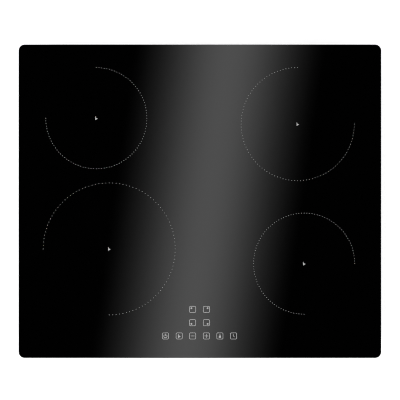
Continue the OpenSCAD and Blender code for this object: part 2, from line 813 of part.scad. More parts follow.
glass_top();
rim_seal();
top_frame();
case_pan();
assembly_screws();
for (s = [0, 1]) {
    coil_plate(side_sign[s]);
    power_board(side_sign[s]);
    heatsink(side_sign[s]);
    fan_housing(side_sign[s]);
    fan_rotor(side_sign[s]);
}
for (i = [0 : 3]) {
    coil_carrier(i);
    coil_winding(i);
    ferrite_bars(i);
    insulation_disc(i);
    pan_sensor(i);
    coil_springs(i);
    coil_leads(i);
    fixing_bracket(i);
}
board_supports();
power_transistors();
film_capacitors();
filter_chokes();
terminal_box();
terminal_block();
terminal_cover();
cable_gland();
touch_carrier();
touch_board();
touch_springs();
number_displays();
wiring_harness();
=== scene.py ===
# Looks of the built-in induction cooktop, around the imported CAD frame. Metres.
import json
import math

import bmesh
import bpy
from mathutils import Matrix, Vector


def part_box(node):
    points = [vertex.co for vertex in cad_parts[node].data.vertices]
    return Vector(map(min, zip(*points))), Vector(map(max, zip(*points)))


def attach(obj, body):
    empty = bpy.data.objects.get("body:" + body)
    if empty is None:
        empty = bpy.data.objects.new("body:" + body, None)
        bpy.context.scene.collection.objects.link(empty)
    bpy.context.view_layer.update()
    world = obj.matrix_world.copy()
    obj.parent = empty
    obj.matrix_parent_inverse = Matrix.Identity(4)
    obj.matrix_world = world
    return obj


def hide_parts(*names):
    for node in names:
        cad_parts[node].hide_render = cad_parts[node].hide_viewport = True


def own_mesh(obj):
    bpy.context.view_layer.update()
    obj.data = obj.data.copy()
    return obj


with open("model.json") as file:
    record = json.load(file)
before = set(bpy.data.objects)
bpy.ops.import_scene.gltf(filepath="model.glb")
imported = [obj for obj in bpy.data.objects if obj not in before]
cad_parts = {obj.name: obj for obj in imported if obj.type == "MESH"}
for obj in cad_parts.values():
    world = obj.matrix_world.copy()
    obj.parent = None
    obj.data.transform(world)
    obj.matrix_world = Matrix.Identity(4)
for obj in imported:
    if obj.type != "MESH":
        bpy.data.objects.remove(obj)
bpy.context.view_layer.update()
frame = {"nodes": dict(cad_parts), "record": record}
MM = 0.001
ZONES = ("rear_left", "rear_right", "front_left", "front_right")

GLASS_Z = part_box("glass_top")[1][2]


# ---------------------------------------------------------------- camera and light

# Width of the picture at the glass, and the point of the glass at its middle
VIEW_WIDTH = 0.65055
VIEW_MIDDLE = (0.16 * MM, 2.0 * MM)


def make_camera():
    """Long lens straight above the glass, with the rear edge up in the picture."""
    data = bpy.data.cameras.new("camera")
    data.sensor_width = 36.0
    data.lens = 100.0
    distance = VIEW_WIDTH * data.lens / data.sensor_width
    camera = bpy.data.objects.new("camera", data)
    camera.location = (*VIEW_MIDDLE, GLASS_Z + distance)
    camera.rotation_euler = (0.0, 0.0, 0.0)
    data.clip_start, data.clip_end = 0.05, 60.0
    bpy.context.scene.collection.objects.link(camera)
    bpy.context.scene.camera = camera
    return distance


camera_distance = make_camera()


class Nodes:
    """Short helper for building node trees."""

    def __init__(self, tree):
        self.tree = tree
        tree.nodes.clear()

    def add(self, kind, **values):
        node = self.tree.nodes.new("ShaderNode" + kind)
        for key, value in values.items():
            setattr(node, key, value)
        return node

    def link(self, source, target):
        self.tree.links.new(source, target)

    def set_or_link(self, socket, value):
        if isinstance(value, bpy.types.NodeSocket):
            self.link(value, socket)
        else:
            socket.default_value = value

    def math(self, operation, a, b=0.0, clamp=False):
        node = self.add("Math", operation=operation, use_clamp=clamp)
        self.set_or_link(node.inputs[0], a)
        self.set_or_link(node.inputs[1], b)
        return node.outputs[0]

    def ramp(self, value, low, high, to_low=0.0, to_high=1.0, smooth=False):
        node = self.add("MapRange", interpolation_type="SMOOTHSTEP" if smooth else "LINEAR")
        self.set_or_link(node.inputs["Value"], value)
        node.inputs["From Min"].default_value = low
        node.inputs["From Max"].default_value = high
        node.inputs["To Min"].default_value = to_low
        node.inputs["To Max"].default_value = to_high
        return node.outputs[0]

    def mix(self, factor, a, b):
        node = self.add("Mix", data_type="RGBA")
        self.set_or_link(node.inputs[0], factor)
        self.set_or_link(node.inputs[6], a)
        self.set_or_link(node.inputs[7], b)
        return node.outputs[2]

    def object_position(self, scale=(1.0, 1.0, 1.0), turn=0.0):
        coords = self.add("TexCoord").outputs["Object"]
        mapping = self.add("Mapping")
        mapping.inputs["Scale"].default_value = scale
        mapping.inputs["Rotation"].default_value = (0.0, 0.0, turn)
        self.link(coords, mapping.inputs["Vector"])
        return mapping.outputs[0]

    def noise(self, place, scale, detail=3.0, rough=0.5):
        node = self.add("TexNoise")
        self.link(place, node.inputs["Vector"])
        node.inputs["Scale"].default_value = scale
        node.inputs["Detail"].default_value = detail
        node.inputs["Roughness"].default_value = rough
        return node.outputs["Fac"]

    def cells(self, place, scale, feature="F1", output="Distance"):
        node = self.add("TexVoronoi", feature=feature)
        self.link(place, node.inputs["Vector"])
        node.inputs["Scale"].default_value = scale
        return node.outputs[output]

    def bump(self, height, strength, distance):
        node = self.add("Bump")
        self.link(height, node.inputs["Height"])
        node.inputs["Strength"].default_value = strength
        node.inputs["Distance"].default_value = distance
        return node.outputs[0]


# The strip light as the glass mirrors it: its middle and spread are lengths on the glass
STRIP_LEAN = 0.1433
STRIP_MIDDLE = 0.0140
STRIP_SPREAD = 0.0570
STRIP_CUT = 0.025
STRIP_STRENGTH = 1.93


def make_world():
    """Studio dome: pale round the sides, dark overhead, with one soft strip light across the dark."""
    world = bpy.data.worlds.new("studio")
    bpy.context.scene.world = world
    world.use_nodes = True
    n = Nodes(world.node_tree)
    split = n.add("SeparateXYZ")
    n.link(n.add("TexCoord").outputs["Generated"], split.inputs[0])
    x, y, z = split.outputs
    up = n.math("MAXIMUM", z, 0.001)
    # Where the direction meets a level plane one unit up; the strip is a leaning bell curve there
    plane_x = n.math("DIVIDE", x, up)
    plane_y = n.math("DIVIDE", y, up)
    across = n.math("SUBTRACT", plane_x, n.math("MULTIPLY", plane_y, STRIP_LEAN))
    across = n.math("SUBTRACT", across, STRIP_MIDDLE / camera_distance)
    across = n.math("DIVIDE", across, STRIP_SPREAD / camera_distance)
    bell = n.math("EXPONENT", n.math("MULTIPLY", n.math("MULTIPLY", across, across), -0.5))
    strip = n.math("MAXIMUM", n.math("SUBTRACT", bell, STRIP_CUT), 0.0)
    strip_end = n.ramp(n.math("ABSOLUTE", plane_y), 0.30, 0.60, 1.0, 0.0, smooth=True)
    strip = n.math("MULTIPLY", strip, n.math("MULTIPLY", strip_end, STRIP_STRENGTH))
    # Dome: bright low down, dimmer above, dark overhead
    low_dome = n.ramp(z, 0.02, 0.34, 0.95, 0.34, smooth=True)
    high_dome = n.ramp(z, 0.52, 0.82, 0.0, 0.85, smooth=True)
    fall = n.ramp(z, 0.90, 0.972, 1.0, 0.0, smooth=True)
    dome = n.math("MULTIPLY", n.math("ADD", low_dome, high_dome), fall)
    light = n.math("ADD", dome, strip)
    lit = n.add("Background")
    lit.inputs["Color"].default_value = (1.0, 1.0, 1.0, 1.0)
    n.link(light, lit.inputs["Strength"])
    seen = n.add("Background")
    seen.inputs["Color"].default_value = (1.0, 1.0, 1.0, 1.0)
    choose = n.add("MixShader")
    n.link(n.add("LightPath").outputs["Is Camera Ray"], choose.inputs[0])
    n.link(lit.outputs[0], choose.inputs[1])
    n.link(seen.outputs[0], choose.inputs[2])
    out = n.add("OutputWorld")
    n.link(choose.outputs[0], out.inputs["Surface"])


def make_key_light():
    """Large soft light from the upper left, well outside what the glass mirrors to the camera."""
    data = bpy.data.lights.new("key_light", "AREA")
    data.shape = "DISK"
    data.size = 1.2
    data.energy = 36.0
    light = bpy.data.objects.new("key_light", data)
    light.location = (-1.9, -1.3, 1.7)
    light.rotation_euler = Vector(light.location).to_track_quat("Z", "Y").to_euler()
    bpy.context.scene.collection.objects.link(light)


def keep_print_sharp():
    """Keeps the ring dots apart: a narrow pixel filter, and no smoothing of the noise filter's guides."""
    cycles = bpy.context.scene.cycles
    cycles.filter_width = 1.1
    cycles.denoising_prefilter = "NONE"


def make_floor():
    """Plain pale floor, a little self-lit so that it stays pale round the object."""
    material = bpy.data.materials.new("pale_floor")
    material.use_nodes = True
    n = Nodes(material.node_tree)
    shader = n.add("BsdfPrincipled")
    place = n.object_position()
    tone = n.mix(n.noise(place, 3.0), (0.80, 0.80, 0.80, 1.0), (0.82, 0.82, 0.82, 1.0))
    n.link(tone, shader.inputs["Base Color"])
    shader.inputs["Roughness"].default_value = 0.9
    shader.inputs["Specular IOR Level"].default_value = 0.1
    shader.inputs["Emission Color"].default_value = (1.0, 1.0, 1.0, 1.0)
    shader.inputs["Emission Strength"].default_value = 0.61
    # Seen from below, the floor is clear, so that the underside of the object shows
    one_sided = n.add("MixShader")
    n.link(n.add("NewGeometry").outputs["Backfacing"], one_sided.inputs[0])
    n.link(shader.outputs[0], one_sided.inputs[1])
    n.link(n.add("BsdfTransparent").outputs[0], one_sided.inputs[2])
    n.link(one_sided.outputs[0], n.add("OutputMaterial").inputs["Surface"])
    mesh = bpy.data.meshes.new("floor")
    half = 12.0
    corners = [(-half, -half, 0), (half, -half, 0), (half, half, 0), (-half, half, 0)]
    mesh.from_pydata(corners, [], [(0, 1, 2, 3)])
    mesh.materials.append(material)
    floor = bpy.data.objects.new("floor", mesh)
    bpy.context.scene.collection.objects.link(floor)
    floor.location.z = -0.0004


make_world()
make_key_light()
keep_print_sharp()
make_floor()
scene = bpy.context.scene
scene.view_settings.view_transform = "Standard"
scene.view_settings.look = "None"


# ---------------------------------------------------------------- materials

def new_material(name):
    """A material with an empty node tree, its shader and its output."""
    material = bpy.data.materials.new(name)
    material.use_nodes = True
    n = Nodes(material.node_tree)
    shader = n.add("BsdfPrincipled")
    n.link(shader.outputs[0], n.add("OutputMaterial").inputs["Surface"])
    return material, n, shader


def black_glass():
    """Polished black glass-ceramic: faint cloudiness in the gloss and very shallow ripples."""
    material, n, shader = new_material("black_glass")
    place = n.object_position()
    cloud = n.noise(place, 14.0, 4.0)
    n.link(n.mix(cloud, (0.0002, 0.0002, 0.0002, 1.0), (0.0004, 0.0004, 0.0004, 1.0)),
           shader.inputs["Base Color"])
    n.link(n.ramp(cloud, 0.3, 0.7, 0.018, 0.032), shader.inputs["Roughness"])
    shader.inputs["IOR"].default_value = 1.5
    n.link(n.bump(n.noise(place, 60.0, 2.0), 0.02, 0.0002), shader.inputs["Normal"])
    return material


def enamel_print():
    """Fired grey-white enamel ink with a fine grain and a dull surface."""
    material, n, shader = new_material("enamel_print")
    place = n.object_position()
    grain = n.noise(place, 5200.0, 2.0)
    n.link(n.mix(grain, (0.40, 0.40, 0.40, 1.0), (0.51, 0.51, 0.507, 1.0)), shader.inputs["Base Color"])
    n.link(n.ramp(grain, 0.3, 0.7, 0.42, 0.60), shader.inputs["Roughness"])
    n.link(n.bump(grain, 0.25, 0.00002), shader.inputs["Normal"])
    return material


def galvanised_steel():
    """Zinc-coated sheet: small crystals of uneven brightness, rolling lines and a dull bloom."""
    material, n, shader = new_material("galvanised_steel")
    shader.inputs["Metallic"].default_value = 1.0
    place = n.object_position()
    wobble = n.add("TexNoise")
    n.link(place, wobble.inputs["Vector"])
    wobble.inputs["Scale"].default_value = 160.0
    shifted = n.add("Mix", data_type="VECTOR")
    shifted.inputs[0].default_value = 0.004
    n.link(place, shifted.inputs[4])
    n.link(wobble.outputs["Color"], shifted.inputs[5])
    crystal = n.cells(shifted.outputs[1], 330.0, output="Color")
    tone = n.add("SeparateColor")
    n.link(crystal, tone.inputs[0])
    bloom = n.noise(place, 9.0, 5.0, 0.6)
    lines = n.noise(n.object_position((1.0, 60.0, 1.0)), 40.0, 3.0)
    grey = n.math("ADD", n.math("MULTIPLY", tone.outputs[0], 0.30), n.math("MULTIPLY", bloom, 0.50))
    grey = n.math("ADD", grey, n.math("MULTIPLY", lines, 0.20))
    n.link(n.mix(grey, (0.20, 0.21, 0.22, 1.0), (0.47, 0.48, 0.49, 1.0)),
           shader.inputs["Base Color"])
    rough = n.math("ADD", n.ramp(tone.outputs[1], 0.0, 1.0, 0.30, 0.42), n.math("MULTIPLY", lines, 0.10))
    n.link(rough, shader.inputs["Roughness"])
    height = n.math("ADD", n.math("MULTIPLY", tone.outputs[2], 0.4), n.math("MULTIPLY", lines, 0.6))
    n.link(n.bump(height, 0.10, 0.00015), shader.inputs["Normal"])
    return material


def brushed_metal(name, dark, light, rough, turn=0.0, stretch=55.0):
    """Metal with fine parallel lines, handling marks and slightly uneven gloss."""
    material, n, shader = new_material(name)
    shader.inputs["Metallic"].default_value = 1.0
    lines = n.noise(n.object_position((stretch, 1.0, stretch), turn), 55.0, 4.0, 0.6)
    marks = n.noise(n.object_position(), 22.0, 5.0, 0.65)
    tone = n.math("ADD", n.math("MULTIPLY", lines, 0.6), n.math("MULTIPLY", marks, 0.4))
    n.link(n.mix(tone, (*dark, 1.0), (*light, 1.0)), shader.inputs["Base Color"])
    n.link(n.ramp(tone, 0.25, 0.75, rough - 0.09, rough + 0.12), shader.inputs["Roughness"])
    n.link(n.bump(lines, 0.15, 0.0001), shader.inputs["Normal"])
    return material


def moulded_plastic(name, dark, light, rough, grain_scale=1800.0, grain=0.35):
    """Spark-textured moulded plastic with faint flow marks."""
    material, n, shader = new_material(name)
    place = n.object_position()
    texture = n.noise(place, grain_scale, 2.0)
    flow = n.noise(place, 16.0, 4.0, 0.6)
    tone = n.math("ADD", n.math("MULTIPLY", texture, 0.35), n.math("MULTIPLY", flow, 0.65))
    n.link(n.mix(tone, (*dark, 1.0), (*light, 1.0)), shader.inputs["Base Color"])
    n.link(n.ramp(tone, 0.25, 0.75, rough - 0.08, rough + 0.10), shader.inputs["Roughness"])
    n.link(n.bump(texture, grain, 0.00006), shader.inputs["Normal"])
    return material


def foam(name, dark, light):
    """Closed-cell foam or rubber: fine open pores and a chalky surface."""
    material, n, shader = new_material(name)
    place = n.object_position()
    pores = n.cells(place, 900.0)
    n.link(n.mix(n.ramp(pores, 0.1, 0.6), (*dark, 1.0), (*light, 1.0)), shader.inputs["Base Color"])
    n.link(n.ramp(n.noise(place, 80.0), 0.3, 0.7, 0.78, 0.95), shader.inputs["Roughness"])
    n.link(n.bump(pores, 0.5, 0.0002), shader.inputs["Normal"])
    return material


def litz_copper():
    """Enamelled copper strands laid slantwise along each turn."""
    material, n, shader = new_material("litz_copper")
    shader.inputs["Metallic"].default_value = 0.85
    place = n.object_position()
    strands = n.add("TexWave", wave_type="BANDS", bands_direction="DIAGONAL")
    n.link(place, strands.inputs["Vector"])
    strands.inputs["Scale"].default_value = 420.0
    strands.inputs["Distortion"].default_value = 1.5
    strands.inputs["Detail"].default_value = 2.0
    strands.inputs["Detail Scale"].default_value = 2.0
    patina = n.noise(place, 35.0, 4.0)
    tone = n.math("ADD", n.math("MULTIPLY", strands.outputs["Fac"], 0.6), n.math("MULTIPLY", patina, 0.4))
    n.link(n.mix(tone, (0.20, 0.060, 0.022, 1.0), (0.72, 0.30, 0.12, 1.0)), shader.inputs["Base Color"])
    n.link(n.ramp(patina, 0.3, 0.7, 0.28, 0.42), shader.inputs["Roughness"])
    n.link(n.bump(strands.outputs["Fac"], 0.6, 0.0002), shader.inputs["Normal"])
    return material


def ferrite():
    """Sintered dark ceramic with a fine speckle."""
    material, n, shader = new_material("ferrite")
    place = n.object_position()
    speckle = n.noise(place, 2600.0, 3.0, 0.7)
    n.link(n.mix(speckle, (0.030, 0.030, 0.032, 1.0), (0.085, 0.085, 0.088, 1.0)),
           shader.inputs["Base Color"])
    n.link(n.ramp(speckle, 0.3, 0.7, 0.50, 0.72), shader.inputs["Roughness"])
    n.link(n.bump(speckle, 0.3, 0.00008), shader.inputs["Normal"])
    return material


def fibre_disc():
    """Pressed ceramic fibre: off-white, matted short fibres."""
    material, n, shader = new_material("fibre_disc")
    place = n.object_position()
    long_fibres = n.noise(n.object_position((1.0, 9.0, 1.0), 0.5), 260.0, 4.0, 0.7)
    cross_fibres = n.noise(n.object_position((9.0, 1.0, 1.0), 0.2), 260.0, 4.0, 0.7)
    mat = n.math("MAXIMUM", long_fibres, cross_fibres)
    tone = n.math("ADD", n.math("MULTIPLY", mat, 0.6), n.math("MULTIPLY", n.noise(place, 12.0), 0.4))
    n.link(n.mix(tone, (0.62, 0.60, 0.54, 1.0), (0.88, 0.87, 0.83, 1.0)), shader.inputs["Base Color"])
    shader.inputs["Roughness"].default_value = 0.93
    n.link(n.bump(mat, 0.6, 0.0003), shader.inputs["Normal"])
    return material


def circuit_board(name, mask, track):
    """Solder mask over blocks of copper and bundles of parallel tracks, with tinned pads."""
    material, n, shader = new_material(name)
    place = n.object_position()
    blocks = n.add("TexVoronoi", feature="F1", distance="CHEBYCHEV")
    n.link(place, blocks.inputs["Vector"])
    blocks.inputs["Scale"].default_value = 62.0
    kind = n.add("SeparateColor")
    n.link(blocks.outputs["Color"], kind.inputs[0])
    bundles = []
    for direction in ("X", "Y"):
        bands = n.add("TexWave", wave_type="BANDS", bands_direction=direction)
        n.link(place, bands.inputs["Vector"])
        bands.inputs["Scale"].default_value = 130.0
        bundles.append(n.ramp(bands.outputs["Fac"], 0.55, 0.70))
    turned_way = n.math("GREATER_THAN", kind.outputs[1], 0.5)
    bundle = n.add("Mix", data_type="FLOAT")
    n.link(turned_way, bundle.inputs[0])
    n.link(bundles[0], bundle.inputs[2])
    n.link(bundles[1], bundle.inputs[3])
    poured = n.math("GREATER_THAN", kind.outputs[0], 0.52)
    tracks = n.math("MAXIMUM", bundle.outputs[0], poured)
    pads = n.ramp(n.cells(place, 210.0), 0.10, 0.13, 1.0, 0.0)
    base = n.mix(tracks, (*mask, 1.0), (*track, 1.0))
    n.link(n.mix(pads, base, (0.62, 0.62, 0.60, 1.0)), shader.inputs["Base Color"])
    n.link(n.ramp(n.noise(place, 120.0), 0.3, 0.7, 0.28, 0.42), shader.inputs["Roughness"])
    n.link(n.bump(n.math("ADD", tracks, pads), 0.3, 0.00006), shader.inputs["Normal"])
    return material


def woven_sleeve(name, dark, light):
    """Braided or ribbed sleeve on a lead."""
    material, n, shader = new_material(name)
    place = n.object_position()
    braid = n.add("TexWave", wave_type="BANDS", bands_direction="DIAGONAL")
    n.link(place, braid.inputs["Vector"])
    braid.inputs["Scale"].default_value = 500.0
    braid.inputs["Distortion"].default_value = 2.0
    tone = n.math("ADD", n.math("MULTIPLY", braid.outputs["Fac"], 0.6),
                  n.math("MULTIPLY", n.noise(place, 60.0), 0.4))
    n.link(n.mix(tone, (*dark, 1.0), (*light, 1.0)), shader.inputs["Base Color"])
    n.link(n.ramp(tone, 0.2, 0.8, 0.55, 0.75), shader.inputs["Roughness"])
    n.link(n.bump(braid.outputs["Fac"], 0.4, 0.0001), shader.inputs["Normal"])
    return material


# One finish for each material slot of the record
FINISHES = {
    "black_glass": black_glass(),
    "seal_foam": foam("seal_foam", (0.018, 0.018, 0.019), (0.055, 0.055, 0.057)),
    "galvanised_steel": galvanised_steel(),
    "zinc_screws": brushed_metal("zinc_screws", (0.30, 0.30, 0.31), (0.58, 0.58, 0.57), 0.28, 0.6, 20.0),
    "zinc_steel": brushed_metal("zinc_steel", (0.34, 0.35, 0.36), (0.60, 0.61, 0.62), 0.33, 0.0, 40.0),
    "spring_steel": brushed_metal("spring_steel", (0.22, 0.23, 0.26), (0.48, 0.49, 0.52), 0.30),
    "aluminium_plate": brushed_metal("aluminium_plate", (0.66, 0.67, 0.68), (0.86, 0.87, 0.88), 0.36),
    "copper_wire": litz_copper(),
    "ferrite": ferrite(),
    "fibre_disc": fibre_disc(),
    "sensor_silicone": foam("sensor_silicone", (0.60, 0.60, 0.58), (0.78, 0.78, 0.76)),
    "contact_rubber": foam("contact_rubber", (0.05, 0.05, 0.052), (0.12, 0.12, 0.125)),
    "lead_sleeve": woven_sleeve("lead_sleeve", (0.34, 0.06, 0.02), (0.70, 0.22, 0.07)),
    "wire_sleeve": woven_sleeve("wire_sleeve", (0.08, 0.035, 0.015), (0.20, 0.10, 0.05)),
    "white_nylon": moulded_plastic("white_nylon", (0.66, 0.64, 0.59), (0.82, 0.80, 0.76), 0.5),
    "cream_plastic": moulded_plastic("cream_plastic", (0.62, 0.59, 0.50), (0.78, 0.75, 0.66), 0.45),
    "black_plastic": moulded_plastic("black_plastic", (0.014, 0.014, 0.015), (0.036, 0.036, 0.038), 0.52),
    "fan_plastic": moulded_plastic("fan_plastic", (0.025, 0.025, 0.027), (0.065, 0.065, 0.068), 0.42),
    "display_plastic": moulded_plastic("display_plastic", (0.62, 0.63, 0.62), (0.78, 0.79, 0.78), 0.25),
    "green_board": circuit_board("green_board", (0.008, 0.075, 0.030), (0.018, 0.15, 0.060)),
    "blue_board": circuit_board("blue_board", (0.008, 0.035, 0.085), (0.018, 0.075, 0.17)),
    "black_resin": moulded_plastic("black_resin", (0.010, 0.010, 0.011), (0.030, 0.030, 0.032), 0.40),
    "red_film": moulded_plastic("red_film", (0.34, 0.020, 0.015), (0.56, 0.060, 0.040),
                                0.22, 500.0, 0.15),
}

# Finishes of the small board parts, which have no slot in the record
SMALL_FINISHES = {
    "resistor_lacquer": moulded_plastic("resistor_lacquer", (0.40, 0.27, 0.14), (0.56, 0.40, 0.23),
                                        0.34, 900.0, 0.1),
    "band_lacquer": moulded_plastic("band_lacquer", (0.16, 0.035, 0.012), (0.30, 0.07, 0.02),
                                    0.30, 900.0, 0.1),
    "can_sleeve": moulded_plastic("can_sleeve", (0.012, 0.016, 0.030), (0.030, 0.038, 0.062),
                                  0.28, 600.0, 0.1),
}


def dress_cad_nodes():
    """Gives each CAD node the finish of its slot in the record."""
    for row in frame["record"]["subparts"]:
        shown = frame["nodes"][row["node"]]
        shown.data.materials.clear()
        shown.data.materials.append(FINISHES[row["material_slot"]])


dress_cad_nodes()


# ---------------------------------------------------------------- mesh helpers

PRINT_LOW = GLASS_Z - 0.01 * MM
PRINT_HIGH = GLASS_Z + 0.03 * MM


def prism(bm, outline, low=PRINT_LOW, high=PRINT_HIGH):
    """Closed flat solid over an outline of (x, y) points, counter-clockwise."""
    bottom = [bm.verts.new((x, y, low)) for x, y in outline]
    top = [bm.verts.new((x, y, high)) for x, y in outline]
    bm.faces.new(list(reversed(bottom)))
    bm.faces.new(top)
    count = len(outline)
    for k in range(count):
        after = (k + 1) % count
        bm.faces.new((bottom[k], bottom[after], top[after], top[k]))


def band(bm, outer, inner, closed=True, low=PRINT_LOW, high=PRINT_HIGH):
    """Closed flat solid between two outlines with the same number of points."""
    rows = [[bm.verts.new((x, y, z)) for x, y in line] for line, z in
            ((outer, low), (inner, low), (inner, high), (outer, high))]
    count = len(outer)
    steps = count if closed else count - 1
    for k in range(steps):
        after = (k + 1) % count
        for side in range(4):
            a, b = rows[side], rows[(side + 1) % 4]
            bm.faces.new((a[k], b[k], b[after], a[after]))
    if not closed:
        bm.faces.new([row[0] for row in reversed(rows)])
        bm.faces.new([row[-1] for row in rows])


def circle_points(cx, cy, radius, count=16, start=0.0, sweep=360.0):
    """Points round a circle, or along an arc that keeps both of its ends."""
    steps = count if sweep >= 360.0 else count - 1
    angles = [math.radians(start + sweep * k / steps) for k in range(count)]
    return [(cx + radius * math.cos(a), cy + radius * math.sin(a)) for a in angles]


def rounded_square(cx, cy, half, radius, corner_steps=6):
    """Outline of a square with round corners."""
    points = []
    for k, (sx, sy) in enumerate(((1, 1), (-1, 1), (-1, -1), (1, -1))):
        centre = (cx + sx * (half - radius), cy + sy * (half - radius))
        points += circle_points(*centre, radius, corner_steps, 90.0 * k, 90.0)
    return points


def stroke_points(start, end, width, round_steps=6):
    """Outline of a straight stroke with round ends."""
    angle = math.degrees(math.atan2(end[1] - start[1], end[0] - start[0]))
    return (circle_points(*end, width / 2, round_steps, angle - 90.0, 180.0)
            + circle_points(*start, width / 2, round_steps, angle + 90.0, 180.0))


def tube_between(bm, rings):
    """Closed skin over a list of rings of points, which all have the same count."""
    rows = [[bm.verts.new(point) for point in ring] for ring in rings]
    count = len(rows[0])
    for here, after in zip(rows, rows[1:]):
        for k in range(count):
            n = (k + 1) % count
            bm.faces.new((here[k], here[n], after[n], after[k]))
    bm.faces.new(list(reversed(rows[0])))
    bm.faces.new(rows[-1])


def block(bm, centre, size, chamfer=0.0):
    """Box standing on its base centre, with its top edges cut back by a chamfer."""
    x, y, z = centre
    w, d, h = size
    sizes = [(w, d, 0.0), (w, d, h)]
    if chamfer > 0.0:
        sizes = [(w, d, 0.0), (w, d, h - chamfer), (w - 2 * chamfer, d - 2 * chamfer, h)]
    corners = ((-1, -1), (1, -1), (1, 1), (-1, 1))
    tube_between(bm, [[(x + sx * a / 2, y + sy * b / 2, z + up) for sx, sy in corners]
                      for a, b, up in sizes])


def turned(bm, centre, profile, sides=20):
    """Solid of revolution on its base centre; the profile is (radius, height) from the base up."""
    x, y, z = centre
    tube_between(bm, [[(px, py, z + up) for px, py in circle_points(x, y, radius, sides)]
                      for radius, up in profile])


def finish_piece(bm, name, material, body="root", smooth=False):
    """Turns a bmesh into a named piece that rides a body."""
    bmesh.ops.recalc_face_normals(bm, faces=bm.faces)
    mesh = bpy.data.meshes.new(name)
    bm.to_mesh(mesh)
    bm.free()
    mesh.materials.append(material)
    for face in mesh.polygons:
        face.use_smooth = smooth
    piece = bpy.data.objects.new(name, mesh)
    bpy.context.scene.collection.objects.link(piece)
    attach(piece, body)
    return piece


def round_only(piece):
    """Keeps the sharp edges of a smooth-shaded piece sharp."""
    piece.data.set_sharp_from_angle(angle=math.radians(40.0))


def zone_centre(zone):
    """Middle of a zone's coil in the frame."""
    low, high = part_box("coil_carrier_" + zone)
    return (low[0] + high[0]) / 2, (low[1] + high[1]) / 2


# ---------------------------------------------------------------- print on the glass

INK = enamel_print()
# Where two strokes of one symbol cross, one is this much higher, so that their faces don't coincide
CROSSING_LIFT = 0.002 * MM
DOT_STEP = 3.0
DOT_RADIUS = 0.45 * MM
DOT_COUNT = 91

# Each ring's radius, and the angle at which its open quarter starts
RING_RADIUS = {"rear_left": 0.0822, "rear_right": 0.0920, "front_left": 0.1073,
               "front_right": 0.0822}
OPEN_QUARTER = {"rear_left": 90.0, "rear_right": 0.0, "front_left": 180.0, "front_right": 270.0}


def zone_ring(zone):
    """Dotted three-quarter circle round a cooking zone."""
    bm = bmesh.new()
    cx, cy = zone_centre(zone)
    for k in range(DOT_COUNT):
        angle = math.radians(OPEN_QUARTER[zone] + 90.0 + k * DOT_STEP)
        dot = (cx + RING_RADIUS[zone] * math.cos(angle), cy + RING_RADIUS[zone] * math.sin(angle))
        prism(bm, circle_points(*dot, DOT_RADIUS, 14))
    finish_piece(bm, "zone_ring_" + zone, INK)


def pennant(bm, cx, cy, height):
    """Small generic pennant: an upright staff with a solid three-cornered flag low on its right."""
    staff = 0.115 * height
    left = cx - 0.22 * height
    prism(bm, stroke_points((left, cy - 0.42 * height), (left, cy + 0.42 * height), staff))
    prism(bm, [(left + staff * 0.3, cy - 0.46 * height), (left + 0.60 * height, cy - 0.12 * height),
               (left + staff * 0.3, cy + 0.20 * height)], PRINT_LOW, PRINT_HIGH + CROSSING_LIFT)


def zone_mark(zone):
    """Pennant at the middle of a cooking zone."""
    bm = bmesh.new()
    pennant(bm, *zone_centre(zone), 6.1 * MM)
    finish_piece(bm, "zone_mark_" + zone, INK)


KEY_COLUMNS = [x * MM for x in (-56.1, -33.7, -11.9, 10.6, 32.5, 54.7)]
KEY_ROWS = [y * MM for y in (-219.1, -197.5, -175.9)]
KEY_HALF = 5.4 * MM
KEY_CORNER = 2.2 * MM
KEY_LINE = 0.75 * MM


def all_keys():
    """Middles of the ten keys: the whole front row, then the zone keys behind it."""
    front = [(x, KEY_ROWS[0]) for x in KEY_COLUMNS]
    zone_keys = [(KEY_COLUMNS[column], KEY_ROWS[row]) for row in (1, 2) for column in (2, 3)]
    return front, zone_keys


def key_outlines():
    """Rounded outline round each key."""
    bm = bmesh.new()
    front, zone_keys = all_keys()
    for cx, cy in front + zone_keys:
        band(bm, rounded_square(cx, cy, KEY_HALF, KEY_CORNER),
             rounded_square(cx, cy, KEY_HALF - KEY_LINE, KEY_CORNER - KEY_LINE))
    finish_piece(bm, "key_outlines", INK)


def power_symbol(bm, cx, cy):
    """Open circle with an upright stroke in its gap."""
    radius, width = 3.1 * MM, 0.9 * MM
    arc = dict(count=22, start=125.0, sweep=290.0)
    band(bm, circle_points(cx, cy - 0.3 * MM, radius, **arc),
         circle_points(cx, cy - 0.3 * MM, radius - width, **arc), closed=False)
    prism(bm, stroke_points((cx, cy + 0.2 * MM), (cx, cy + 3.1 * MM), width))


def padlock_symbol(bm, cx, cy):
    """Solid lock body with a shackle above it."""
    half, low, high = 1.75 * MM, cy - 3.0 * MM, cy - 0.1 * MM
    prism(bm, [(cx - half, low), (cx + half, low), (cx + half, high), (cx - half, high)])
    shackle = []
    for reach in (1.35 * MM, 0.75 * MM):
        arc = circle_points(cx, cy + 1.1 * MM, reach, count=12, start=0.0, sweep=180.0)
        shackle.append([(cx + reach, high)] + arc + [(cx - reach, high)])
    band(bm, *shackle, closed=False)


